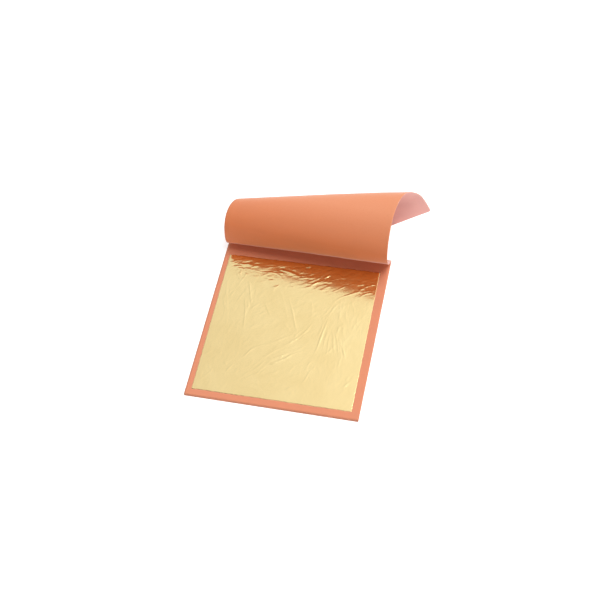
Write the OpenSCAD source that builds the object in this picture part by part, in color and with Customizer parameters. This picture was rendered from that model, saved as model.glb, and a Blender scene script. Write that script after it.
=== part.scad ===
// A booklet of loose gold leaf: thin tissue pages bound at one edge, a loose
// square of gold leaf between every two pages, a back cover, and a front cover
// that is rolled back over the spine.
//
// Frame: millimetres. The origin is the middle of the back cover's underside.
// +X runs along the spine, +Y from the open edge to the spine, +Z up.

/* [Pages] */
// Width of a tissue page, along the spine
page_w = 87; // [84:0.5:100]
// Length of a tissue page, from the spine to its open edge
page_l = 91.4; // [86:0.2:100]
// Thickness of a tissue page
page_t = 0.03; // [0.02:0.005:0.05]
// How unevenly the pages are trimmed
page_trim = 0.12; // [0:0.02:0.2]

/* [Gold leaf] */
// Side of a square of gold leaf
gold_side = 80; // [70:1:82]
// Thickness of a gold leaf's solid
gold_t = 0.006; // [0.004:0.001:0.02]
// Air between a page and the leaf on it
air = 0.002; // [0.001:0.001:0.01]
// Turn of the top leaf on its page, in degrees
gold_turn = 0.32; // [-1:0.02:1]

/* [Back cover] */
// Thickness of the back cover
back_t = 0.18; // [0.12:0.02:0.3]

/* [Spine] */
// Depth of the glued strip behind the pages
strip_d = 1.1; // [0.9:0.05:1.6]
// Height of the glued strip at its front, above the back cover
strip_front_h = 0.12; // [0.1:0.02:0.25]
// Height of the glued strip at its back, above the back cover
strip_back_h = 0.66; // [0.5:0.02:0.8]
// Diameter of the binding thread
thread_d = 0.2; // [0.16:0.02:0.24]
// Length of one stitch
stitch_l = 11; // [6:0.5:14]
// Number of stitches
stitches = 4; // [2:1:5]

/* [Front cover] */
// Width of the front cover, along the spine
cover_w = 86.5; // [84:0.5:87]
// Length of the front cover, when flat
cover_l = 94; // [91:0.5:94]
// Thickness of the front cover
cover_t = 0.16; // [0.1:0.02:0.2]
// Height of the cover's hinge line above the top page
cover_lift = 0.4; // [0.25:0.05:0.5]
// How far left of the cover the roll's cone comes to its point
cone_reach = 143; // [140:1:150]
// Angle at which the cover leaves the spine, up from the pages
first_angle = 48; // [45:1:52]

/* [Hidden] */
// Bend at each line between two panels of the rolled cover, in degrees
bends = [54, 36, 58, 57, 54, 53, 110];
panels = len(bends) + 1;
$fn = 24;

pages = 24;
// height from one page to the next: a page, a leaf, and air on both sides
pitch = page_t + gold_t + 2 * air;
hinge_gap = 0.1;             // from a page's bound edge to its hinge line
back_l = page_l + 0.3 + strip_d;
spine_y = back_l / 2 - strip_d - hinge_gap;     // the hinge line
strip_y = spine_y + hinge_gap;                  // front of the glued strip
function page_z(k) = back_t + gold_t + 2 * air + (pages - k) * pitch;
top_z = page_z(1) + page_t;                     // top of the open page
cover_z = top_z + cover_lift;                   // the cover's hinge line

page_color = [0.90, 0.56, 0.45];
gold_color = [0.93, 0.83, 0.58];
cover_color = [0.96, 0.64, 0.52];
thread_color = [0.93, 0.90, 0.84];
glue_color = [0.86, 0.74, 0.66];

// ---- the block ------------------------------------------------------------

module sheet(w, l, t) {
    translate([-w / 2, 0, 0]) cube([w, l, t]);
}

module back_cover() {
    color(cover_color)
        translate([0, -back_l / 2, 0]) sheet(page_w, back_l, back_t);
}

// A page is trimmed a little unevenly at its open edge and its sides.
module interleaf(k) {
    short = page_trim * (1 + sin(71 * k + 20)) / 2;
    aside = page_trim * sin(137 * k) / 2;
    color(page_color)
        translate([aside, spine_y - hinge_gap - page_l + short, page_z(k)])
            sheet(page_w - page_trim, page_l - short, page_t);
}

// Leaf 1 lies on the open page, leaf 25 on the back cover. Each lies where it
// was laid down, so no two are quite in line.
module gold_leaf(k) {
    first = k == 1;
    x = first ? -0.72 : 0.8 * sin(97 * k);
    y = first ? -2.45 : -2.4 + 0.9 * cos(53 * k);
    turn = first ? gold_turn : 0.6 * sin(61 * k);
    z = k > pages ? back_t + air : page_z(k) + page_t + air;
    color(gold_color)
        translate([x, y, z]) rotate([0, 0, turn])
            translate([-gold_side / 2, -gold_side / 2, 0])
                cube([gold_side, gold_side, gold_t]);
}

// ---- the spine ------------------------------------------------------------

strip_slope = atan((strip_back_h - strip_front_h) / strip_d);
stitch_y = strip_y + strip_d / 2;
stitch_z = back_t + (strip_front_h + strip_back_h) / 2 + thread_d / 2 / cos(strip_slope) + 0.01;
stitch_step = page_w / (stitches + 0.4);
leg_hole_d = thread_d + 0.06;
function stitch_x(i) = (i - (stitches - 1) / 2) * stitch_step;

// The glue that holds the bound edges. Its top slopes up towards the back, so
// that the pages can turn back over it.
module spine_strip() {
    color(glue_color) difference() {
        translate([-page_w / 2, 0, 0]) rotate([90, 0, 90]) linear_extrude(page_w)
            polygon([
                [strip_y, back_t],
                [strip_y + strip_d, back_t],
                [strip_y + strip_d, back_t + strip_back_h],
                [strip_y, back_t + strip_front_h]
            ]);
        for (i = [0:stitches - 1], s = [-1, 1])
            translate([stitch_x(i) + s * stitch_l / 2, stitch_y, back_t + 0.05])
                cylinder(d = leg_hole_d, h = 2);
    }
}

// Each stitch runs along the strip's top and goes down into it at both ends.
module stitch() {
    leg = stitch_z - back_t - 0.07;
    rotate([0, 90, 0]) cylinder(d = thread_d, h = stitch_l, center = true);
    for (s = [-1, 1]) translate([s * stitch_l / 2, 0, 0]) {
        sphere(d = thread_d);
        translate([0, 0, -leg]) cylinder(d = thread_d, h = leg);
    }
}

module binding_thread() {
    color(thread_color)
        for (i = [0:stitches - 1])
            translate([stitch_x(i), stitch_y, stitch_z]) stitch();
}

// ---- the front cover ------------------------------------------------------
// Rolled loosely, a sheet bends along straight lines that all meet in one
// point: here a point far to the left, on the line of the spine. The cover is
// cut along eight such lines into flat panels. Laid flat again, the panels are
// one rectangle, cover_w by cover_l.

cover_aside = 0.4;                    // the cover sits a little to the right
tip = [cover_aside - cover_w / 2 - cone_reach, spine_y, cover_z];
fan = atan(cover_l / cone_reach);     // angle of the whole cover at the point
step = fan / panels;                  // angle of one panel at the point
cut = 0.035;                          // half the gap between panels, in degrees

// Direction of the line at the start of panel i, and the direction across it
// in the panel's plane: [along, across].
function turned(v) = [
    v[0] * cos(step) + v[1] * sin(step),
    v[1] * cos(step) - v[0] * sin(step)
];
function bent(v, b) = [v[0], v[1] * cos(b) - cross(v[0], v[1]) * sin(b)];
function line(i) = i == 1
    ? [[1, 0, 0], [0, -cos(first_angle), sin(first_angle)]]
    : bent(turned(line(i - 1)), bends[i - 2]);

// Where a line at angle f enters and leaves the flat cover, from the point.
function near(f) = cone_reach / cos(f);
function far(f) = min((cone_reach + cover_w) / cos(f), cover_l / sin(max(f, 0.001)));
function at(r, f) = [r * cos(f), r * sin(f)];
corner = atan(cover_l / (cone_reach + cover_w));

module front_cover_panel(i) {
    v = line(i);
    across = cross(v[0], v[1]);
    f0 = (i - 1) * step;
    a = f0 + cut;
    b = i == panels ? fan - 0.001 : f0 + step - cut;
    outline = [
        at(near(a), a - f0),
        at(far(a), a - f0),
        if (corner > a && corner < b) at(far(corner), corner - f0),
        at(far(b), b - f0),
        at(near(b), b - f0)
    ];
    color(cover_color)
        multmatrix([
            [v[0][0], v[1][0], across[0], tip[0]],
            [v[0][1], v[1][1], across[1], tip[1]],
            [v[0][2], v[1][2], across[2], tip[2]],
            [0, 0, 0, 1]
        ])
            translate([0, 0, -cover_t / 2]) linear_extrude(cover_t) polygon(outline);
}

back_cover();
spine_strip();
binding_thread();
interleaf(1);  // interleaf_01
interleaf(2);  // interleaf_02
interleaf(3);  // interleaf_03
interleaf(4);  // interleaf_04
interleaf(5);  // interleaf_05
interleaf(6);  // interleaf_06
interleaf(7);  // interleaf_07
interleaf(8);  // interleaf_08
interleaf(9);  // interleaf_09
interleaf(10);  // interleaf_10
interleaf(11);  // interleaf_11
interleaf(12);  // interleaf_12
interleaf(13);  // interleaf_13
interleaf(14);  // interleaf_14
interleaf(15);  // interleaf_15
interleaf(16);  // interleaf_16
interleaf(17);  // interleaf_17
interleaf(18);  // interleaf_18
interleaf(19);  // interleaf_19
interleaf(20);  // interleaf_20
interleaf(21);  // interleaf_21
interleaf(22);  // interleaf_22
interleaf(23);  // interleaf_23
interleaf(24);  // interleaf_24
gold_leaf(1);  // gold_leaf_01
gold_leaf(2);  // gold_leaf_02
gold_leaf(3);  // gold_leaf_03
gold_leaf(4);  // gold_leaf_04
gold_leaf(5);  // gold_leaf_05
gold_leaf(6);  // gold_leaf_06
gold_leaf(7);  // gold_leaf_07
gold_leaf(8);  // gold_leaf_08
gold_leaf(9);  // gold_leaf_09
gold_leaf(10);  // gold_leaf_10
gold_leaf(11);  // gold_leaf_11
gold_leaf(12);  // gold_leaf_12
gold_leaf(13);  // gold_leaf_13
gold_leaf(14);  // gold_leaf_14
gold_leaf(15);  // gold_leaf_15
gold_leaf(16);  // gold_leaf_16
gold_leaf(17);  // gold_leaf_17
gold_leaf(18);  // gold_leaf_18
gold_leaf(19);  // gold_leaf_19
gold_leaf(20);  // gold_leaf_20
gold_leaf(21);  // gold_leaf_21
gold_leaf(22);  // gold_leaf_22
gold_leaf(23);  // gold_leaf_23
gold_leaf(24);  // gold_leaf_24
gold_leaf(25);  // gold_leaf_25
front_cover_panel(1);  // front_cover_panel_1
front_cover_panel(2);  // front_cover_panel_2
front_cover_panel(3);  // front_cover_panel_3
front_cover_panel(4);  // front_cover_panel_4
front_cover_panel(5);  // front_cover_panel_5
front_cover_panel(6);  // front_cover_panel_6
front_cover_panel(7);  // front_cover_panel_7
front_cover_panel(8);  // front_cover_panel_8
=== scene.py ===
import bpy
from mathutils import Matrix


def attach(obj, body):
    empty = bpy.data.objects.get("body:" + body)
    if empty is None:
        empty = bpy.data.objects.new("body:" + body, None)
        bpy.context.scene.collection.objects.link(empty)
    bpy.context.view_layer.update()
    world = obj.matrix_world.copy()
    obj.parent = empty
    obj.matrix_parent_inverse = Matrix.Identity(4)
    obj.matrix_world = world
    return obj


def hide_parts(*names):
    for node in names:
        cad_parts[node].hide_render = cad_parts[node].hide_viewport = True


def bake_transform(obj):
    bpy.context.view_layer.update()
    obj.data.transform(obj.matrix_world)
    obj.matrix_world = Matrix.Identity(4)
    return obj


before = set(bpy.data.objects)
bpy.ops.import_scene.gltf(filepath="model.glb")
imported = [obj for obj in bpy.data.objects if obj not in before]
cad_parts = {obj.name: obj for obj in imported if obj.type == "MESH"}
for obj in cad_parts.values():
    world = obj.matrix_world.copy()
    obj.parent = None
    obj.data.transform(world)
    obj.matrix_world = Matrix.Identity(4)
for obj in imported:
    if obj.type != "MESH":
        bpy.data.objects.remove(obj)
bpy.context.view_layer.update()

import math

import bpy
import numpy as np
from mathutils import Matrix, Vector

MM = 0.001
scene = bpy.context.scene

# The frame, in millimetres, as in the CAD model: the origin is the middle of the back cover's underside, +X runs
# along the spine, +Y is towards it. The numbers here are the model's own driving sizes.
PAGE_W, PAGE_L, PAGE_T = 87.0, 91.4, 0.03
BACK_L, BACK_T = 92.8, 0.18
SPINE_Y = 45.2
GOLD, GOLD_T, AIR = 80.0, 0.006, 0.002
PITCH = PAGE_T + GOLD_T + 2 * AIR
PAGES = 24
TRIM = 0.12
STRIP_D, STRIP_FRONT, STRIP_BACK = 1.1, 0.12, 0.66
THREAD_D, STITCH_L, STITCHES = 0.2, 11.0, 4
COVER_W, COVER_L, COVER_T = 86.5, 94.0, 0.16
REACH, FIRST, BENDS = 143.0, 48.0, (54, 36, 58, 57, 54, 53, 110)
TIP = np.array([0.4 - COVER_W / 2 - REACH, SPINE_Y, 1.54])
FAN = math.atan(COVER_L / REACH)
STEP = FAN / 8
CORNER = math.atan(COVER_L / (REACH + COVER_W))
STRIP_Y = SPINE_Y + 0.1


def page_z(k):
    return BACK_T + GOLD_T + 2 * AIR + (PAGES - k) * PITCH


# ---------------------------------------------------------------- camera and light

# from the page's and the leaf's corners
CAMERA = [[0.972608, -0.130222, 0.19255, 0.110661],
          [0.211165, 0.841255, -0.497694, -0.266274],
          [-0.097173, 0.524721, 0.84571, 0.47983],
          [0, 0, 0, 1]]


def camera():
    cam = bpy.data.cameras.new("camera")
    cam.lens, cam.sensor_width = 66.63, 36.0
    cam.clip_start, cam.clip_end = 0.01, 20
    ob = bpy.data.objects.new("camera", cam)
    scene.collection.objects.link(ob)
    ob.matrix_world = Matrix(CAMERA)
    scene.camera = ob


def area(name, at, to, size, power, colour=(1, 1, 1)):
    light = bpy.data.lights.new(name, "AREA")
    light.shape, light.size, light.size_y = "RECTANGLE", size[0], size[1]
    light.energy, light.color = power, colour
    ob = bpy.data.objects.new(name, light)
    scene.collection.objects.link(ob)
    ob.location = at
    ob.rotation_euler = (Vector(to) - Vector(at)).to_track_quat("-Z", "Y").to_euler()
    return ob


# ---------------------------------------------------------------- noise

def gradient_noise(x, y, seed):
    """Smooth noise, about -0.7 to 0.7, with one bump a unit."""
    table = np.random.default_rng(seed).uniform(0, 2 * math.pi, (256, 256))
    xi, yi = np.floor(x).astype(int), np.floor(y).astype(int)
    fx, fy = x - xi, y - yi

    def corner(i, j):
        a = table[(xi + i) & 255, (yi + j) & 255]
        return np.cos(a) * (fx - i) + np.sin(a) * (fy - j)

    u, v = fx ** 3 * (fx * (fx * 6 - 15) + 10), fy ** 3 * (fy * (fy * 6 - 15) + 10)
    return (corner(0, 0) * (1 - u) + corner(1, 0) * u) * (1 - v) + (corner(0, 1) * (1 - u) + corner(1, 1) * u) * v


def fbm(x, y, seed, octaves=4, gain=0.5):
    total, amp = 0, 1.0
    for i in range(octaves):
        total = total + amp * gradient_noise(x * 2 ** i + 17.3 * i, y * 2 ** i - 9.1 * i, seed + i)
        amp *= gain
    return total


def smooth(t):
    t = np.clip(t, 0, 1)
    return t * t * (3 - 2 * t)


# ---------------------------------------------------------------- meshes

def mesh_object(name, verts, faces, materials, face_material=None, flat=None, uv=None):
    """verts in millimetres. uv is one pair a vertex."""
    me = bpy.data.meshes.new(name)
    me.from_pydata((np.asarray(verts) * MM).tolist(), [], faces)
    for m in materials:
        me.materials.append(m)
    n = len(me.polygons)
    if face_material is not None:
        me.polygons.foreach_set("material_index", np.asarray(face_material, np.int32))
    shade = np.ones(n, bool) if flat is None else ~np.asarray(flat, bool)
    me.polygons.foreach_set("use_smooth", shade)
    if uv is not None:
        layer = me.uv_layers.new(name="UVMap")
        index = np.zeros(len(me.loops), np.int32)
        me.loops.foreach_get("vertex_index", index)
        layer.data.foreach_set("uv", np.asarray(uv, np.float32)[index].ravel())
    me.validate()
    me.update()
    ob = bpy.data.objects.new(name, me)
    scene.collection.objects.link(ob)
    return ob


def quads(n, m, base=0, flip=False):
    i, j = np.meshgrid(np.arange(n - 1), np.arange(m - 1), indexing="ij")
    a = (i * m + j).ravel() + base
    q = np.stack([a, a + m, a + m + 1, a + 1], 1)
    return q[:, ::-1] if flip else q


def rim_loop(n, m):
    """Border vertices of an n by m grid, in order round it."""
    top = [j for j in range(m - 1)]
    right = [i * m + m - 1 for i in range(n - 1)]
    bottom = [(n - 1) * m + j for j in range(m - 1, 0, -1)]
    left = [i * m for i in range(n - 1, 0, -1)]
    return np.array(top + right + bottom + left)


def sheet_object(name, upper, lower, uv, materials):
    """A closed thin sheet from two grids of points, (n, m, 3). Materials: upper, lower and the cut edge."""
    n, m = upper.shape[:2]
    count = n * m
    # rows run along +u and columns along +v, so that the upper side faces u x v
    up, low = quads(n, m), quads(n, m, count, flip=True)
    loop = rim_loop(n, m)
    nxt = np.roll(loop, -1)
    rim = np.stack([loop, nxt, nxt + count, loop + count], 1)
    verts = np.concatenate([upper.reshape(-1, 3), lower.reshape(-1, 3)])
    faces = np.concatenate([up, low, rim])
    which = np.concatenate([np.zeros(len(up)), np.ones(len(low)), np.full(len(rim), 2)]).astype(np.int32)
    ob = mesh_object(name, verts, faces.tolist(), materials, which, which == 2,
                     np.concatenate([uv.reshape(-1, 2)] * 2))
    return ob


def weights(w):
    """Builds the share of the second body for each vertex, both sides of a sheet alike; the result is neither returned
    nor stored.
    """
    w = np.concatenate([w.ravel()] * 2).astype(np.float32)


# ---------------------------------------------------------------- materials

class Nodes:
    """A material's node tree, written from left to right."""

    def __init__(self, name):
        self.mat = bpy.data.materials.new(name)
        self.mat.use_nodes = True
        self.t = self.mat.node_tree
        self.t.nodes.clear()
        self.out = self.t.nodes.new("ShaderNodeOutputMaterial")
        self.shader = self.t.nodes.new("ShaderNodeBsdfPrincipled")
        self.link(self.shader.outputs[0], self.out.inputs[0])
        self.uv = self.t.nodes.new("ShaderNodeTexCoord").outputs["UV"]

    def link(self, a, b):
        self.t.links.new(a, b)

    def set(self, **values):
        for k, v in values.items():
            self.shader.inputs[k.replace("_", " ")].default_value = v

    def mapping(self, scale=(1, 1, 1), turn=0.0, at=(0, 0, 0)):
        n = self.t.nodes.new("ShaderNodeMapping")
        n.inputs["Scale"].default_value = scale
        n.inputs["Rotation"].default_value = (0, 0, math.radians(turn))
        n.inputs["Location"].default_value = at
        self.link(self.uv, n.inputs[0])
        return n.outputs[0]

    def noise(self, scale, detail=4, rough=0.5, distortion=0.0, vector=None, kind="FBM"):
        n = self.t.nodes.new("ShaderNodeTexNoise")
        n.noise_type = kind
        n.inputs["Scale"].default_value = scale
        n.inputs["Detail"].default_value = detail
        n.inputs["Roughness"].default_value = rough
        n.inputs["Distortion"].default_value = distortion
        self.link(vector or self.uv, n.inputs["Vector"])
        return n.outputs[0]

    def cracks(self, scale, vector=None, randomness=1.0):
        n = self.t.nodes.new("ShaderNodeTexVoronoi")
        n.feature = "DISTANCE_TO_EDGE"
        n.inputs["Scale"].default_value = scale
        n.inputs["Randomness"].default_value = randomness
        self.link(vector or self.uv, n.inputs["Vector"])
        return n.outputs["Distance"]

    def ramp(self, value, stops):
        n = self.t.nodes.new("ShaderNodeValToRGB")
        e = n.color_ramp.elements
        while len(e) < len(stops):
            e.new(0.5)
        for el, (p, c) in zip(e, stops):
            el.position = p
            el.color = tuple(c) + (1,) if len(c) == 3 else (c[0],) * 3 + (1,)
        self.link(value, n.inputs[0])
        return n.outputs[0]

    def span(self, value, lo, hi, a=0.0, b=1.0):
        n = self.t.nodes.new("ShaderNodeMapRange")
        n.inputs["From Min"].default_value, n.inputs["From Max"].default_value = a, b
        n.inputs["To Min"].default_value, n.inputs["To Max"].default_value = lo, hi
        self.link(value, n.inputs["Value"])
        return n.outputs[0]

    def mix(self, a, b, share, how="MIX"):
        n = self.t.nodes.new("ShaderNodeMix")
        n.data_type, n.blend_type = "RGBA", how
        for socket, v in ((n.inputs[0], share), (n.inputs[6], a), (n.inputs[7], b)):
            if isinstance(v, (int, float)):
                socket.default_value = v
            elif isinstance(v, tuple):
                socket.default_value = v + (1,)
            else:
                self.link(v, socket)
        return n.outputs[2]

    def math(self, how, a, b):
        n = self.t.nodes.new("ShaderNodeMath")
        n.operation = how
        for socket, v in zip(n.inputs, (a, b)):
            if isinstance(v, (int, float)):
                socket.default_value = v
            else:
                self.link(v, socket)
        return n.outputs[0]

    def bump(self, height, strength, distance, onto=None):
        n = self.t.nodes.new("ShaderNodeBump")
        n.inputs["Strength"].default_value = strength
        n.inputs["Distance"].default_value = distance
        self.link(height, n.inputs["Height"])
        if onto is not None:
            self.link(onto, n.inputs["Normal"])
        return n.outputs[0]

    def finish(self, colour=None, rough=None, normal=None):
        if colour is not None:
            self.link(colour, self.shader.inputs["Base Color"])
        if rough is not None:
            self.link(rough, self.shader.inputs["Roughness"])
        if normal is not None:
            self.link(normal, self.shader.inputs["Normal"])
        return self.mat


def srgb(r, g, b):
    return tuple(c / 12.92 if c <= 0.04045 else ((c + 0.055) / 1.055) ** 2.4 for c in (r / 255, g / 255, b / 255))


def scaled(c, k):
    return tuple(x * k for x in c)


def paper(name, colour, mottle=0.05, fibre=0.04, bump=0.1, rough=(0.62, 0.78), painted_light_colour=None):
    """Thin dyed paper. One UV unit is 100 mm. Cloudy formation, fine fibres that lie mostly one way, and a faint tooth.
    With painted_light_colour the colour turns paler as the second UV coordinate runs from 0.24 to 0.48: painted light
    and shade.
    """
    n = Nodes(name)
    cloud = n.noise(7.0, 5, 0.55, 0.4, n.mapping((1.0, 2.2, 1.0), 8))
    fine = n.noise(70.0, 3, 0.6)
    fibres = n.noise(90.0, 2, 0.6, 1.5, n.mapping((1.0, 5.0, 1.0), 12))
    flecks = n.noise(240.0, 2, 0.5)
    base = n.mix(scaled(colour, 1 - mottle), scaled(colour, 1 + mottle), n.span(cloud, 0, 1, 0.3, 0.7))
    if painted_light_colour is not None:
        # painted light and shade: the colour turns to the paler one away from the bound edge. This stands for light on
        # the roll's crest, and it leaves the roll's foot by the crease painted darker as shade.
        place = n.t.nodes.new("ShaderNodeSeparateXYZ")
        n.link(n.uv, place.inputs[0])
        base = n.mix(base, painted_light_colour, n.span(place.outputs[1], 0, 0.95, 0.24, 0.48))
    base = n.mix(base, scaled(colour, 1 - 2.2 * fibre), n.span(fibres, 0, 0.5, 0.56, 0.8))
    base = n.mix(base, scaled(colour, 1 + 1.5 * fibre), n.span(flecks, 0, 0.5, 0.6, 0.85))
    n.set(Specular_IOR_Level=0.35, Sheen_Weight=0.5, Sheen_Roughness=0.35)
    tooth = n.bump(fine, bump, 0.00004)
    tooth = n.bump(fibres, bump, 0.00003, tooth)
    return n.finish(base, n.span(cloud, rough[0], rough[1], 0.3, 0.7), tooth)


def gold_material(name, deep=1.0):
    """Beaten leaf: a bright metal with a web of very fine wrinkles and faint differences of tone. One UV unit is 100 mm."""
    n = Nodes(name)
    tone = n.noise(5.0, 4, 0.6, 0.8)
    grain = n.noise(60.0, 4, 0.65, 1.2, n.mapping((1.0, 0.6, 1.0), 35))
    web = n.cracks(26.0, n.mapping((1.0, 0.7, 1.0), 40))
    fine = n.cracks(60.0, n.mapping((0.8, 1.2, 1.0), -25))
    colour = n.mix((0.89, 0.69, 0.33), (0.935, 0.74, 0.37), n.span(tone, 0, 1, 0.3, 0.7))
    n.set(Metallic=1.0)
    h = n.bump(n.span(web, 0, 1, 0.0, 0.10), 0.15 * deep, 0.00003)
    h = n.bump(n.span(fine, 0, 1, 0.0, 0.12), 0.10 * deep, 0.00002, h)
    h = n.bump(grain, 0.12 * deep, 0.00003, h)
    return n.finish(colour, n.span(grain, 0.13, 0.2, 0.3, 0.7), h)


# ---------------------------------------------------------------- the front cover

def unit_chain():
    """The ruled lines of the rolled cover, as directions from the point where they meet: [direction, across before it, across after it]."""
    c, s = math.cos(STEP), math.sin(STEP)
    p, t = np.array([1.0, 0, 0]), np.array([0, -math.cos(math.radians(FIRST)), math.sin(math.radians(FIRST))])
    out = [(p, None, t)]
    for i in range(8):
        p, before = p * c + t * s, t * c - p * s
        if i < 7:
            b = math.radians(BENDS[i])
            t = before * math.cos(b) - np.cross(p, before) * math.sin(b)
            out.append((p, before, t))
        else:
            out.append((p, before, None))
    return out


CHAIN = unit_chain()


def rolled(f):
    """Direction from the point, on the rounded roll, of the line at developed angle f, and the direction across it."""
    f = np.asarray(f, float)
    out, across = np.zeros(f.shape + (3,)), np.zeros(f.shape + (3,))
    h = STEP / 2
    which = np.clip(np.floor((f + h) / STEP).astype(int), 0, 8)
    for i in range(9):
        m = which == i
        if not m.any():
            continue
        p, before, after = CHAIN[i]
        if i in (0, 8):
            y, t = f[m] - i * STEP, after if i == 0 else before
            out[m] = np.cos(y)[:, None] * p + np.sin(y)[:, None] * t
            across[m] = -np.sin(y)[:, None] * p + np.cos(y)[:, None] * t
            continue
        share = (f[m] - (i * STEP - h)) / STEP
        s, ts = math.cos(h) * p - math.sin(h) * before, math.cos(h) * before + math.sin(h) * p
        rho = math.atan2(math.sin(h), math.tan(math.radians(BENDS[i - 1]) / 2))
        c = math.cos(rho) * s - math.sin(rho) * np.cross(s, ts)
        turn = 2 * math.atan2(math.tan(h), math.sin(rho)) * np.sign(np.cross(c, s) @ ts)
        a = (turn * share)[:, None]
        out[m] = s * np.cos(a) + np.cross(c, s) * np.sin(a) + c * (c @ s) * (1 - np.cos(a))
        q = np.cross(c, out[m]) * np.sign(turn)
        across[m] = q / np.linalg.norm(q, axis=1)[:, None]
    return out, across


def follow(i, f):
    """The share of panel i + 1 that the line at angle f follows. As the roll opens, a line turns about the hinge line
    by that share of the bend. The share is chosen so that the opened sheet has one low, soft wave there."""
    p, before, _ = CHAIN[i]
    inner = -np.cross(p, before)
    c, _ = rolled(f)
    d = c - (c @ p)[:, None] * p
    size, place = np.linalg.norm(d, axis=1), np.arctan2(d @ inner, d @ before)
    half = math.sin(STEP / 2)
    middle = np.linalg.norm(np.cross(rolled(np.array([i * STEP]))[0][0], p))
    x = np.linspace(0, half, 400)
    y = middle * (1 + np.cos(math.pi * x / half)) / 2
    r = np.maximum.accumulate(np.hypot(x, y))
    xs = np.interp(size, r, x)
    ys = middle * (1 + np.cos(math.pi * xs / half)) / 2
    first = f < i * STEP
    flat = np.where(first, math.pi - np.arctan2(ys, xs), np.arctan2(ys, xs))
    w = (np.where(place < 0, place + 2 * math.pi, place) - flat) / math.radians(BENDS[i - 1])
    return np.clip(w, 0, 1)


def ruled(f, u_left, u_right, n):
    """Developed places (u, v) along the line at angle f, from the cover's left edge to its right or free edge."""
    near = REACH / math.cos(f)
    far = min((REACH + COVER_W) / math.cos(f), COVER_L / math.sin(f) if f > 1e-6 else 1e9)
    # the free right corner is a little worn
    worn = 1.1
    cu, cv = REACH + COVER_W - worn, COVER_L - worn
    if far * math.cos(f) > cu and far * math.sin(f) > cv:
        b = cu * math.cos(f) + cv * math.sin(f)
        far = b + math.sqrt(max(b * b - (cu * cu + cv * cv - worn * worn), 0))
    return np.linspace(near + u_left, far - u_right, n)


# How far the rolled paper stands off a true cone, in millimetres, at its left and right edge and every 12 mm
SLACK = ((-1.3, 0.0, 0.2, 0.2, -0.1, -0.7, -0.8), (0.4, 0.0, 0.1, 0.2, 0.0, -0.8, 0.5))


def slack(u, v):
    s = u / COVER_W
    off = sum((a * (1 - s) + b * s) * np.exp(-((v - 14 - 12 * j) / 8.5) ** 2) for j, (a, b) in enumerate(zip(*SLACK)))
    return off * smooth((v - 2) / 10.0)


def cockle(u, v):
    """How far the paper stands off its true roll: slow waves, and none at the glued edge."""
    slow = fbm(u / 34.0, v / 26.0, 41, 3)
    return 0.16 * slow * smooth((v - 2) / 14.0)


def cover_piece(i, mats):
    """Piece 0 runs from the glued edge to the middle of the first strip, pieces 1 to 7 from middle to middle, and
    piece 8 is the last half strip."""
    lo, hi = max(0.0, (i - 0.5) * STEP), min(FAN * 0.99995, (i + 0.5) * STEP)
    if i == 0:
        f = np.concatenate([np.radians([0, 0.015, 0.03, 0.05, 0.08, 0.12, 0.2]), np.linspace(math.radians(0.32), hi, 18)])
    elif i == 8:
        f = np.linspace(lo, hi, 16)
    else:
        f = np.linspace(lo, hi, 53)
        ease = np.array([0.03, 0.09, 0.2, 0.45]) * (f[1] - f[0])
        f = np.concatenate([f[:1], lo + ease, f[1:-1], hi - ease[::-1], f[-1:]])
    if lo < CORNER < hi:
        f[np.argmin(abs(f - CORNER))] = CORNER
    columns = 120
    c, t = rolled(f)
    nrm = np.cross(c, t)
    rows, normals, places = [], [], []
    if i == 0:
        # its foot is glued down on the top page's bound edge
        foot = np.array([0, 0.2, 0.98])
        for v in (-0.36, -0.3, -0.22, -0.12, -0.05):
            u = np.linspace(0, COVER_W, columns)
            rows.append(TIP + (REACH + u)[:, None] * CHAIN[0][0] + v * foot)
            normals.append(np.tile(np.cross(CHAIN[0][0], foot), (columns, 1)))
            places.append(np.stack([u, np.full(columns, v)], 1))
    for k, a in enumerate(f):
        r = ruled(a, 0, 0, columns)
        u, v = r * math.cos(a) - REACH, r * math.sin(a)
        off = cockle(u, v) + slack(u, v)
        # what stands off outwards presses on the pages when the cover is closed
        off = np.where(off < 0.0, off, 0.05 * np.tanh(off / 0.05))
        # the cut edges wander a little
        r = r + 0.05 * gradient_noise(np.full(columns, v[0] / 6), np.full(columns, 3.3), 52) * (1 - smooth((r - r[0]) / 4))
        rows.append(TIP + r[:, None] * c[k] + off[:, None] * nrm[k])
        normals.append(np.tile(nrm[k], (columns, 1)))
        places.append(np.stack([u, v], 1))
    mid, nrm2, uv = np.array(rows), np.array(normals), np.array(places)
    # rows run across the lines and columns along them: the front is on the -n side of columns x rows
    front, back = mid + nrm2 * COVER_T / 2, mid - nrm2 * COVER_T / 2
    ob = sheet_object("front_cover_sheet_%d" % i, back, front, uv / 100.0, [mats[1], mats[0], mats[2]])
    if i == 8:
        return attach(ob, "cover_8")
    a, b = ("page_01", "cover_1") if i == 0 else ("cover_%d" % i, "cover_%d" % (i + 1))
    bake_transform(ob)
    if i == 0:
        w = smooth((uv[..., 1] + 0.14) / 0.28)
    else:
        w = np.tile(follow(i, f)[:, None], (1, columns))
    weights(w)
    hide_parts("front_cover_panel_%d" % (i + 1))
    return ob


# ---------------------------------------------------------------- pages

def page_outline(k):
    short = TRIM * (1 + math.sin(math.radians(71 * k + 20))) / 2
    aside = TRIM * math.sin(math.radians(137 * k)) / 2
    w = PAGE_W - TRIM
    return aside - w / 2, aside + w / 2, SPINE_Y - 0.1 - PAGE_L + short, SPINE_Y - 0.1


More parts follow.
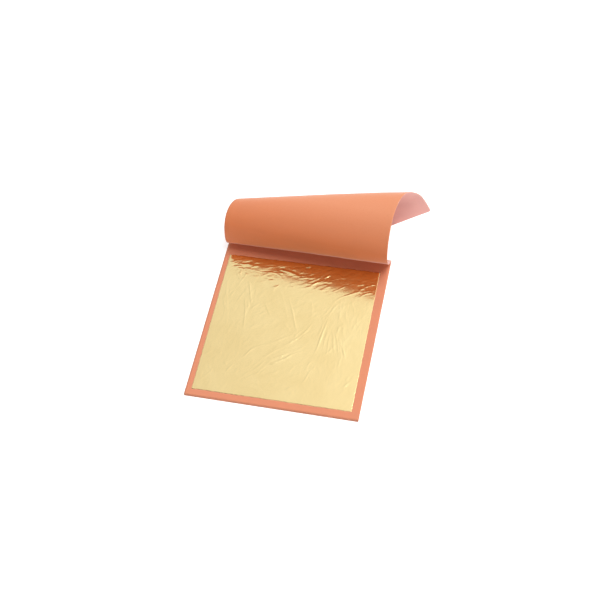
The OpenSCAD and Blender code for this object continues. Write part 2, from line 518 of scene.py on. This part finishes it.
def page_grid(k, nx, ny):
    """Places of a page's grid, (n, m), with slightly uneven cut edges."""
    x0, x1, y0, y1 = page_outline(k)
    s, t = np.meshgrid(np.linspace(0, 1, nx), np.linspace(0, 1, ny), indexing="ij")
    x, y = x0 + (x1 - x0) * s, y0 + (y1 - y0) * t
    wander = 0.03 * gradient_noise(y / 9.0, np.full_like(y, k * 1.7), 60)
    x = x + wander * (abs(2 * s - 1)) ** 8
    front = 0.04 * np.abs(gradient_noise(x / 11.0, np.full_like(x, k * 2.3), 61))
    y = y + front * (1 - t) ** 30
    return x, y


def page_piece(k, mats, nx, ny):
    x, y = page_grid(k, nx, ny)
    z = page_z(k)
    up = np.stack([x, y, np.full_like(x, z + PAGE_T)], -1)
    low = np.stack([x, y, np.full_like(x, z)], -1)
    uv = np.stack([x / 100.0 + 0.37 * k, y / 100.0 + 0.21 * k], -1)
    ob = sheet_object("interleaf_sheet_%02d" % k, up, low, uv, mats)
    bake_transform(ob)
    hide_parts("interleaf_%02d" % k)
    return ob


# ---------------------------------------------------------------- gold leaf

# Creases that stand out on the open leaf: strength, and points in millimetres from the leaf's middle.
CREASES = [
    (1.2, [(-33.5, 29), (-32, 26.5), (-30.5, 24.5)]),
    (1.2, [(-32, 31.5), (-31.5, 28.5), (-30.5, 27)]),
    (1.3, [(-28.5, 30.5), (-29, 27.5), (-30, 25.5)]),
    (1.0, [(-26.5, 26), (-25, 22), (-22.5, 14)]),
    (1.1, [(-26, 15), (-24, 7.5), (-22.5, -3)]),
    (0.8, [(-35, 16.5), (-33.5, 18.5), (-32, 19.5)]),
    (0.9, [(-33.5, 14.5), (-33, 16.5), (-32, 19.5)]),
    (0.9, [(-30, 11.5), (-28.5, 15), (-26, 21.5)]),
    (0.7, [(-35, 8.5), (-34, 11.5), (-33, 14)]),
    (0.7, [(-38.5, 21.5), (-37, 25), (-36.5, 28)]),
    (0.8, [(-21.5, 8), (-20, 10.5), (-17.5, 13)]),
    (0.8, [(-15.5, 14), (-13, 10), (-10.5, 6)]),
    (0.6, [(-12, 19), (-12, 21.5), (-12, 23.5)]),
    (0.5, [(-35.5, 7.5), (-33, 10), (-31.5, 13)]),
    (1.0, [(25.5, 21.5), (22, 18), (19.5, 13), (17.5, 6), (16, -3)]),
    (1.1, [(24, 20), (20.5, 15.5), (18.5, 8), (17, 1.5)]),
    (0.7, [(19, 16), (17, 12), (15, 9)]),
    (1.0, [(-3.5, 18.5), (0.5, 10), (2.5, 4.5), (4.5, -1.5)]),
    (0.5, [(-8, 21.5), (-3.5, 11.5), (-0.5, 3.5)]),
    (0.5, [(6.5, 20.5), (9.5, 15.5), (10.5, 9.5)]),
    (0.6, [(30, 19.5), (26.5, 18), (22.5, 14.5)]),
    (0.9, [(33, 28), (27.5, 25), (22.5, 22), (19.5, 18)]),
    (1.0, [(39.5, 27.5), (35.5, 26.5), (32, 24)]),
    (1.0, [(39, 32.5), (34.5, 30.5), (31.5, 27.5)]),
    (1.0, [(29, 32), (24, 29.5), (18.5, 25.5), (15.5, 24)]),
    (0.7, [(27.5, 7), (25.5, 4), (25.5, -1)]),
    (0.8, [(24, -0.5), (24.5, -5.5), (26, -10.5)]),
    (0.9, [(26, -1), (28, -7), (29.5, -12.5)]),
    (0.9, [(28.5, -2.5), (30, -8), (31.5, -12)]),
    (0.8, [(20, 1.5), (19.5, -4), (20, -9.5)]),
    (0.5, [(33.5, 13), (33.5, 8.5), (35.5, 6.5)]),
    (0.5, [(37.5, 14.5), (35, 10.5), (33.5, 8)]),
    (1.0, [(-20.5, -20.5), (-18, -17.5), (-14.5, -13), (-9, -10), (-3.5, -7), (2, -3.5)]),
    (0.6, [(-18.5, -19.5), (-16, -14.5), (-12.5, -12)]),
    (1.2, [(-10.5, -28.5), (-7.5, -23.5), (-3, -20), (4.5, -15)]),
    (0.9, [(-10, -19), (-6.5, -15.5), (-2.5, -12), (3, -8.5)]),
    (0.9, [(-7, -22.5), (-4.5, -19), (-0.5, -16), (4, -12.5)]),
    (0.9, [(-26, -30), (-24.5, -26.5), (-22.5, -23)]),
    (0.8, [(-21, -28.5), (-19.5, -26.5), (-17, -25)]),
    (0.9, [(-17, -33), (-14, -30), (-10, -27)]),
    (0.7, [(-14, -27.5), (-10.5, -23.5), (-7, -18.5)]),
    (0.6, [(-34, -38), (-32.5, -35.5), (-32, -32.5)]),
    (0.5, [(-29, -22), (-26.5, -24.5), (-24.5, -26.5)]),
    (0.5, [(-5, -35.5), (-3, -31), (-2.5, -28)]),
    (0.5, [(-34.5, -24.5), (-34.5, -26.5), (-32.5, -29)]),
    (1.3, [(-4.5, -21), (1, -17.5), (5.5, -13.5), (10.5, -11)]),
    (0.8, [(-5, -18), (0, -15.5), (4.5, -13), (9, -10)]),
    (0.9, [(-6, -8.5), (-2.5, -6), (1, -3)]),
    (1.1, [(-2.5, -10.5), (2, -8), (6.5, -3.5), (9, 0), (11.5, 5)]),
    (1.2, [(16, -11), (17, -6), (18, 1.5), (19, 7.5)]),
    (0.6, [(15, -11.5), (16.5, -9.5), (17, -4)]),
    (0.8, [(17, -4), (17.5, 0.5), (18.5, 5)]),
    (0.8, [(2, 6), (3.5, 2.5), (5, -1)]),
    (0.5, [(-2.5, 5), (-1, 2), (1.5, -0.5)]),
    (0.9, [(22, -13), (22, -7.5), (21.5, -3.5), (22, 1.5)]),
    (1.0, [(24, 1.5), (26, -3.5), (28.5, -12)]),
    (0.9, [(27, -2), (29, -6.5), (31.5, -11)]),
    (0.7, [(22, 2.5), (23.5, -1.5), (24, -6.5)]),
    (0.5, [(29.5, 4), (25.5, 5.5), (25, 2)]),
    (1.0, [(12.5, -30), (14, -27), (15, -23.5), (16, -21)]),
    (1.0, [(5, -34), (8, -32), (11, -30.5), (13, -29)]),
    (0.7, [(16, -24), (16.5, -25.5), (18, -27)]),
    (0.9, [(32, -28.5), (34.5, -26.5), (37, -23.5)]),
    (0.6, [(33.5, -25.5), (35.5, -21), (37, -18.5)]),
    (0.8, [(5.5, -25), (6.5, -22), (8.5, -19)]),
    (0.6, [(5.5, -27), (8.5, -25.5), (11.5, -23.5)]),
    (0.6, [(21, -23.5), (20, -20.5), (18, -17.5)]),
    (0.5, [(29, -18.5), (29, -16), (29, -12.5)]),
    (0.5, [(13.5, -31), (18, -32.5), (19.5, -35)]),
    (0.5, [(26, -13.5), (27.5, -16), (27.5, -19.5)]),
]


def curve_through(points, n=14):
    """A smooth line through the points (Catmull-Rom)."""
    p = np.array(points, float)
    p = np.vstack([2 * p[0] - p[1], p, 2 * p[-1] - p[-2]])
    out = []
    for a, b, c, d in zip(p[:-3], p[1:-2], p[2:-1], p[3:]):
        t = np.linspace(0, 1, n, endpoint=False)[:, None]
        out.append(0.5 * (2 * b + (c - a) * t + (2 * a - 5 * b + 4 * c - d) * t ** 2 + (3 * b - a - 3 * c + d) * t ** 3))
    return np.vstack(out + [p[-2:-1]])


def add_crease(h, xs, ys, line, amp, width, lean, fine=4.5):
    """Adds one crease to the height field h over the grid lines xs, ys. lean from -1 to 1 tilts it to one side."""
    reach = fine * width
    i0, i1 = np.searchsorted(xs, [line[:, 0].min() - reach, line[:, 0].max() + reach])
    j0, j1 = np.searchsorted(ys, [line[:, 1].min() - reach, line[:, 1].max() + reach])
    if i1 - i0 < 2 or j1 - j0 < 2:
        return
    x, y = np.meshgrid(xs[i0:i1], ys[j0:j1], indexing="ij")
    best, side, along = np.full(x.shape, 1e9), np.zeros(x.shape), np.zeros(x.shape)
    seg = np.linalg.norm(np.diff(line, axis=0), axis=1)
    total, gone = max(seg.sum(), 1e-9), 0.0
    for a, b, length in zip(line[:-1], line[1:], seg):
        if length < 1e-9:
            continue
        d = (b - a) / length
        px, py = x - a[0], y - a[1]
        t = np.clip(px * d[0] + py * d[1], 0, length)
        qx, qy = px - t * d[0], py - t * d[1]
        dist = np.hypot(qx, qy)
        m = dist < best
        best = np.where(m, dist, best)
        side = np.where(m, np.sign(d[0] * qy - d[1] * qx), side)
        along = np.where(m, (gone + t) / total, along)
        gone += length
    taper = np.sin(math.pi * np.clip(along, 0.02, 0.98)) ** 0.6
    s = side * best / width
    ridge = np.exp(-s * s)
    step = np.tanh(1.3 * s) * np.exp(-(s / 2.6) ** 2)
    h[i0:i1, j0:j1] += amp * taper * ((1 - abs(lean)) * ridge + lean * step)


def flow(x, y):
    """The way the small wrinkles run at a place on the leaf, in degrees from +X."""
    low = 44 + 10 * np.sin(x / 17.0)                       # the lower middle: up to the right
    right = 82 + 22 * np.sin((y - 4) / 19.0)               # the right side: nearly towards the spine, bowing
    left = 70 + 18 * np.sin((y + 8) / 15.0)
    top = 28 + 10 * np.sin(x / 11.0)                       # beside the spine: slanting
    share_right = smooth((x - 8) / 12.0)
    share_left = smooth((-x - 14) / 12.0)
    share_top = smooth((y - 22) / 10.0)
    a = low * (1 - share_right) + right * share_right
    a = a * (1 - share_left) + left * share_left
    return a * (1 - share_top) + top * share_top


def leaf_height(xs, ys, seed, creases=(), number=900, scale=1.0):
    """Height of a loose leaf over the sheet that it lies on."""
    x, y = np.meshgrid(xs, ys, indexing="ij")
    rng = np.random.default_rng(seed)
    h = 0.035 * scale * fbm(x / 26.0, y / 22.0, seed + 1, 2)
    h += 0.018 * scale * (1 - np.abs(fbm(x / 8.0, y / 8.0, seed + 5, 2)) * 2.2) ** 2
    for _ in range(number):
        c = rng.uniform(-40, 40, 2)
        a = math.radians(float(flow(c[0], c[1])) + rng.normal(0, 17))
        length, bow = rng.gamma(2.2, 2.2) + 1.2, rng.normal(0, 0.09)
        t = np.linspace(-0.5, 0.5, 9)
        u, v = t * length, bow * length * (1 - 4 * t * t)
        line = np.stack([c[0] + u * math.cos(a) - v * math.sin(a), c[1] + u * math.sin(a) + v * math.cos(a)], 1)
        add_crease(h, xs, ys, line, scale * rng.choice([-1, 1], p=[0.35, 0.65]) * rng.gamma(2.0, 0.0078),
                   rng.uniform(0.28, 0.6), rng.uniform(-0.6, 0.6))
    for strength, points in creases:
        add_crease(h, xs, ys, curve_through(points), scale * 0.062 * strength, 0.36, rng.uniform(-0.5, 0.5))
    return h


def back_edge(h, xs, ys):
    """Beside the spine the leaf lifts a little towards its edge, and is crowded with slanting wrinkles."""
    x, y = np.meshgrid(xs, ys, indexing="ij")
    away = GOLD / 2 - y
    rng = np.random.default_rng(29)
    for _ in range(420):
        c = rng.uniform(-40, 40), 40 - 19 * rng.beta(1.2, 1.5)
        a = math.radians(rng.normal(20 + 12 * math.sin(c[0] / 13.0), 13))
        length, bow = rng.gamma(2.4, 1.9) + 1.2, rng.normal(0, 0.09)
        t = np.linspace(-0.5, 0.5, 7)
        u, v = t * length, bow * length * (1 - 4 * t * t)
        line = np.stack([c[0] + u * math.cos(a) - v * math.sin(a), c[1] + u * math.sin(a) + v * math.cos(a)], 1)
        add_crease(h, xs, ys, line, rng.choice([-1, 1], p=[0.35, 0.65]) * rng.gamma(2.2, 0.013) * (1.5 - 0.05 * (40 - c[1])),
                   rng.uniform(0.3, 0.62), rng.uniform(-0.8, 0.8))
    h = h + 0.17 * (1 - smooth(away / 11.0))
    # a narrow fold along the edge, which dies away to the right
    fold = np.clip(away / 0.95, 0, 1) * (1 - smooth((away - 1.0) / 7.0))
    return h + 0.04 * smooth((6 - x + 3 * gradient_noise(x / 4.0, y * 0, 31)) / 14.0) * fold


def leaf_place(k):
    if k == 1:
        return -0.72, -2.45, math.radians(0.32)
    s = lambda d: math.sin(math.radians(d))
    return 0.8 * s(97 * k), -2.4 + 0.9 * math.cos(math.radians(53 * k)), math.radians(0.6 * s(61 * k))


def put_leaf(k, x, y, z):
    cx, cy, a = leaf_place(k)
    return np.stack([cx + x * math.cos(a) - y * math.sin(a), cy + x * math.sin(a) + y * math.cos(a), z], -1)


def ragged(s, t, k, amount):
    """Shifts of a leaf's border: it is cut with a knife, but so thin that it nicks and drags."""
    p = (s + 1) * 40
    q = (t + 1) * 40
    dx = amount * fbm(q / 3.0, np.full_like(q, 5.1 * k + np.sign(s[-1, 0])), 70 + k, 3)
    dy = amount * fbm(p / 3.0, np.full_like(p, 7.7 * k), 90 + k, 3)
    return dx * np.abs(s) ** 60, dy * np.abs(t) ** 60


def open_leaf(mat):
    """Leaf 1, loose on the open page."""
    n = 288
    line = np.linspace(-GOLD / 2, GOLD / 2, n)
    h = leaf_height(line, line, 7, CREASES, 900)
    x, y = np.meshgrid(line, line, indexing="ij")
    s, t = x / (GOLD / 2), y / (GOLD / 2)
    edge = np.minimum(GOLD / 2 - np.abs(x), GOLD / 2 - np.abs(y))
    h = (h - np.percentile(h, 25)) * smooth(edge / 3.0)
    sides = np.minimum(GOLD / 2 - np.abs(x), GOLD / 2 + y)
    h = back_edge(h, line, line) * smooth(sides / 0.9 + 0.1)
    # it lies on the page where it is lowest, and stays under a closed cover
    h = np.where(h < 0.02, 0.02 * np.exp(np.minimum(h - 0.02, 0) / 0.02), h)
    h = np.where(h < 0.17, h, 0.17 + 0.07 * np.tanh((h - 0.17) / 0.07))
    dx, dy = ragged(s, t, 1, 0.22)
    z0 = page_z(1) + PAGE_T + AIR
    top = put_leaf(1, x + dx, y + dy, z0 + GOLD_T * 0.5 + h)
    count = n * n
    loop = rim_loop(n, n)
    base = top.reshape(-1, 3)[loop].copy()
    base[:, 2] = z0
    m = len(loop)
    nxt = np.roll(np.arange(m), -1)
    rim = np.stack([loop, loop[nxt], count + nxt, count + np.arange(m)], 1)
    faces = quads(n, n).tolist() + rim.tolist() + [list(range(count, count + m))[::-1]]
    flat = np.zeros(len(faces), bool)
    flat[len(faces) - 1 - m:] = True
    verts = np.vstack([top.reshape(-1, 3), base])
    uv = np.vstack([np.stack([x, y], -1).reshape(-1, 2), np.stack([x, y], -1).reshape(-1, 2)[loop]]) / 100.0
    ob = mesh_object("gold_leaf_sheet_01", verts, faces, [mat], None, flat, uv)
    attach(ob, "gold_01")
    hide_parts("gold_leaf_01")
    return ob


def pressed_leaf(k, mat, n):
    """Leaves 2 to 25, pressed between two pages."""
    line = np.linspace(-GOLD / 2, GOLD / 2, n)
    x, y = np.meshgrid(line, line, indexing="ij")
    h = fbm(x / 9.0, y / 9.0, 200 + k, 3)
    if n > 120:
        h = h + 12 * leaf_height(line, line, 300 + k, (), 500, 0.5)
    h = (h - h.min()) / (h.max() - h.min())
    s, t = x / (GOLD / 2), y / (GOLD / 2)
    dx, dy = ragged(s, t, k, 0.2)
    z0 = (BACK_T if k > PAGES else page_z(k) + PAGE_T) + AIR
    up = put_leaf(k, x + dx, y + dy, z0 + 0.001 + 0.005 * h)
    low = put_leaf(k, x + dx, y + dy, z0 + 0.004 * h)
    ob = sheet_object("gold_leaf_sheet_%02d" % k, up, low, np.stack([x, y], -1) / 100.0 + 0.31 * k, [mat, mat, mat])
    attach(ob, "root" if k > PAGES else "page_%02d" % k)
    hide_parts("gold_leaf_%02d" % k)
    return ob


# ---------------------------------------------------------------- back cover, spine, thread

def back_cover(mats):
    nx, ny = 60, 64
    s, t = np.meshgrid(np.linspace(0, 1, nx), np.linspace(0, 1, ny), indexing="ij")
    x, y = (s - 0.5) * PAGE_W, (t - 0.5) * BACK_L
    x = x + 0.03 * gradient_noise(y / 10.0, np.full_like(y, 0.4), 80) * np.abs(2 * s - 1) ** 10
    edge = np.minimum(PAGE_W / 2 - np.abs((s - 0.5) * PAGE_W), BACK_L / 2 - np.abs((t - 0.5) * BACK_L))
    round_off = 0.03 * (1 - smooth(edge / 0.25 + 0.0))
    up = np.stack([x, y, BACK_T - round_off], -1)
    low = np.stack([x, y, np.zeros_like(x) + 0.6 * round_off], -1)
    ob = sheet_object("back_cover_sheet", up, low, np.stack([x, y], -1) / 100.0, mats)
    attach(ob, "root")
    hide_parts("back_cover")
    return ob


def stitch_places():
    step = PAGE_W / (STITCHES + 0.4)
    y = STRIP_Y + STRIP_D / 2
    slope = math.atan((STRIP_BACK - STRIP_FRONT) / STRIP_D)
    z = BACK_T + (STRIP_FRONT + STRIP_BACK) / 2 + THREAD_D / 2 / math.cos(slope) + 0.01
    return [((i - (STITCHES - 1) / 2) * step, y, z) for i in range(STITCHES)]


def spine_strip(mat):
    """The glue, brushed on along the bound edges: a wedge with softened corners and a slightly uneven top."""
    ring = np.array([[0.0, 0.0], [1.0, 0.0], [1.0, 0.9], [0.93, 0.98], [0.8, 0.97], [0.6, 0.86], [0.4, 0.75], [0.2, 0.64],
                     [0.05, 0.55], [0.0, 0.45]])
    n = 260
    xs = np.linspace(-PAGE_W / 2, PAGE_W / 2, n)
    places = stitch_places()
    rows = []
    for x in xs:
        y = ring[:, 0]
        top = STRIP_FRONT + (STRIP_BACK - STRIP_FRONT) * y
        share = np.array([0, 0, 0.9, 0.99, 1, 1, 1, 1, 0.97, 0.5])
        wobble = 0.02 * gradient_noise(np.full(10, x / 2.3), ring[:, 0] * 2.0, 85) - 0.012
        # the thread draws the glue down where it goes through
        pull = sum(0.05 * math.exp(-((x - px - s * STITCH_L / 2) / 0.35) ** 2) for px, _, _ in places for s in (-1, 1))
        z = np.clip(top * share + (wobble - pull) * (share > 0.6), 0.0, None)
        rows.append(np.stack([np.full(10, x), STRIP_Y + STRIP_D * y - 0.004 * (y > 0.99), BACK_T + z], 1))
    v = np.array(rows)
    faces = []
    for i in range(n - 1):
        for j in range(10):
            a, b = i * 10 + j, i * 10 + (j + 1) % 10
            faces.append([a, a + 10, b + 10, b])
    faces.append(list(range(10)))
    faces.append(list(range((n - 1) * 10, n * 10))[::-1])
    uv = np.stack([v[..., 0] / 100.0, np.tile(np.arange(10) * 0.0025, (n, 1))], -1).reshape(-1, 2)
    ob = mesh_object("spine_glue", v.reshape(-1, 3), faces, [mat], None, None, uv)
    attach(ob, "root")
    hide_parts("spine_strip")
    return ob


def stitches(mat):
    """Two-ply thread: each stitch runs along the glue and goes down through it at both ends."""
    verts, faces, uv = [], [], []
    sides, ply, off = 8, 0.056, 0.044
    for px, py, pz in stitch_places():
        leg, r = pz - BACK_T - 0.07, 0.16
        path = [(px - STITCH_L / 2, py, pz - leg * (1 - t)) for t in np.linspace(0, 1 - r / leg, 6)]
        path += [(px - STITCH_L / 2 + r * (1 - math.cos(a)), py, pz - r + r * math.sin(a)) for a in np.linspace(0.2, math.pi / 2, 5)]
        run = np.linspace(px - STITCH_L / 2 + r, px + STITCH_L / 2 - r, 90)[1:-1]
        path += [(x, py, pz) for x in run]
        path += [(px + STITCH_L / 2 - r * (1 - math.sin(a)), py, pz - r + r * math.cos(a)) for a in np.linspace(0, math.pi / 2 - 0.2, 5)]
        path += [(px + STITCH_L / 2, py, pz - leg * t) for t in np.linspace(r / leg, 1, 6)]
        p = np.array(path)
        tangent = np.gradient(p, axis=0)
        tangent /= np.linalg.norm(tangent, axis=1)[:, None]
        side = np.tile([0.0, 1.0, 0.0], (len(p), 1))
        up = np.cross(tangent, side)
        way = np.concatenate([[0], np.cumsum(np.linalg.norm(np.diff(p, axis=0), axis=1))])
        for strand in (0, math.pi):
            turn = way / 0.62 * 2 * math.pi + strand
            centre = p + off * (np.cos(turn)[:, None] * side + np.sin(turn)[:, None] * up)
            base = len(verts)
            for i in range(len(p)):
                for j in range(sides):
                    a = 2 * math.pi * j / sides + turn[i]
                    verts.append(centre[i] + ply * (math.cos(a) * side[i] + math.sin(a) * up[i]))
                    uv.append((way[i] / 100.0, j / sides * 0.0035 + strand))
            for i in range(len(p) - 1):
                for j in range(sides):
                    a, b = base + i * sides + j, base + i * sides + (j + 1) % sides
                    faces.append([a, b, b + sides, a + sides])
            faces.append(list(range(base, base + sides))[::-1])
            faces.append(list(range(base + (len(p) - 1) * sides, base + len(p) * sides)))
    ob = mesh_object("binding_stitches", np.array(verts), faces, [mat], None, None, np.array(uv))
    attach(ob, "root")
    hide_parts("binding_thread")
    return ob


def glue_material():
    n = Nodes("glue")
    cloud = n.noise(30.0, 4, 0.6, 0.5)
    streak = n.noise(120.0, 3, 0.6, 0.6, n.mapping((0.3, 3.0, 1.0)))
    base = n.mix(srgb(206, 150, 122), srgb(226, 176, 148), n.span(cloud, 0, 1, 0.3, 0.7))
    base = n.mix(base, srgb(186, 122, 94), n.span(streak, 0, 0.6, 0.5, 0.75))
    n.set(Specular_IOR_Level=0.5, Coat_Weight=0.15, Coat_Roughness=0.3)
    return n.finish(base, n.span(cloud, 0.35, 0.55, 0.3, 0.7), n.bump(streak, 0.3, 0.00005))


def thread_material():
    n = Nodes("thread")
    strands = n.noise(500.0, 3, 0.6, 0.5, n.mapping((0.35, 4.0, 1.0), 30))
    base = n.mix(srgb(232, 226, 212), srgb(248, 243, 232), n.span(strands, 0, 1, 0.3, 0.7))
    n.set(Sheen_Weight=0.3, Specular_IOR_Level=0.3)
    return n.finish(base, n.span(strands, 0.6, 0.8, 0.3, 0.7), n.bump(strands, 0.5, 0.00002))


# ---------------------------------------------------------------- stage

def stage():
    me = bpy.data.meshes.new("table")
    s, z = 3.0, -0.00002
    me.from_pydata([(-s, -s, z), (s, -s, z), (s, s, z), (-s, s, z)], [], [(0, 1, 2, 3)])
    n = Nodes("table")
    # a light table: it is white where the booklet shades it, too
    n.set(Base_Color=(0.8, 0.8, 0.8, 1), Roughness=0.9, Specular_IOR_Level=0.0, Emission_Color=(1, 1, 1, 1), Emission_Strength=0.5)
    me.materials.append(n.finish())
    ob = bpy.data.objects.new("table", me)
    scene.collection.objects.link(ob)

    # a white tent: bright overhead and behind, a little brighter to the right, and dim towards the table
    world = bpy.data.worlds.new("studio")
    scene.world = world
    world.use_nodes = True
    t = world.node_tree
    back = t.nodes["Background"]
    back.inputs[0].default_value = (1, 1, 1, 1)
    axes = t.nodes.new("ShaderNodeSeparateXYZ")
    t.links.new(t.nodes.new("ShaderNodeTexCoord").outputs["Generated"], axes.inputs[0])

    def span(socket, lo, hi, a, b, kind="LINEAR"):
        m = t.nodes.new("ShaderNodeMapRange")
        m.interpolation_type = kind
        for name, v in (("From Min", lo), ("From Max", hi), ("To Min", a), ("To Max", b)):
            m.inputs[name].default_value = v
        t.links.new(socket, m.inputs["Value"])
        return m.outputs[0]

    def both(how, a, b):
        m = t.nodes.new("ShaderNodeMath")
        m.operation = how
        t.links.new(a, m.inputs[0])
        t.links.new(b, m.inputs[1])
        return m.outputs[0]

    side = span(axes.outputs[0], -0.45, 0.35, 0.75, 1.5)
    front = span(axes.outputs[1], -0.15, 0.4, 0.12, 1.0, "SMOOTHSTEP")
    height = span(axes.outputs[2], 0.2, 0.7, 0.12, 1.0, "SMOOTHSTEP")
    # and lit again near the horizon, where a low view looks
    horizon = span(axes.outputs[2], 0.2, 0.52, 0.95, 0.0, "SMOOTHSTEP")
    t.links.new(both("MAXIMUM", both("MULTIPLY", both("MULTIPLY", side, front), height), horizon), back.inputs[1])
    area("key", (0.4, 0.12, 1.25), (0, 0.02, 0), (0.7, 0.5), 10.7)
    area("front", (0.1, -1.0, 0.85), (0, 0.02, 0), (0.9, 0.5), 2.1)
    scene.view_settings.view_transform = "Standard"
    scene.view_settings.look = "None"
    scene.view_settings.exposure = 0.0
    scene.view_settings.gamma = 1.0


camera()
stage()

PAGE_SALMON = (0.712, 0.256, 0.138)
paper_page = paper("page_tissue", PAGE_SALMON, 0.03, 0.03, 0.08)
paper_edge = paper("paper_edge", srgb(250, 184, 150), 0.04, 0.04, 0.1)
# the cover's inside is painted: darker by the glued edge, a painted shade for the crease at the roll's foot, and paler
# from 24 mm out, a painted light on the roll's crest; the back cover's top shares this finish
cover_recto = paper("cover_inside", (0.65, 0.178, 0.06), 0.03, 0.02, 0.06, painted_light_colour=(0.775, 0.298, 0.153))
cover_verso = paper("cover_outside", (0.797, 0.428, 0.375), 0.03, 0.02, 0.06)
gold = gold_material("gold_leaf")
gold_pressed = gold_material("gold_leaf_pressed", 1.5)

for i in range(9):
    piece = cover_piece(i, [cover_recto, cover_verso, paper_edge])
page_piece(1, [paper_page, paper_page, paper_edge], 110, 116)
for k in range(2, PAGES + 1):
    page_piece(k, [paper_page, paper_page, paper_edge], 40, 44)
open_leaf(gold)
for k in range(2, PAGES + 2):
    pressed_leaf(k, gold_pressed, 180 if k == 2 else 40)
back_cover([cover_recto, cover_verso, paper_edge])
spine_strip(glue_material())
stitches(thread_material())

# the nodes that these pieces stand for keep a finish of their own
for name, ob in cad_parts.items():
    m = (gold_pressed if name.startswith("gold") else paper_page if name.startswith("interleaf") else cover_recto)
    for slot in ob.material_slots:
        slot.material = m

bpy.context.view_layer.update()
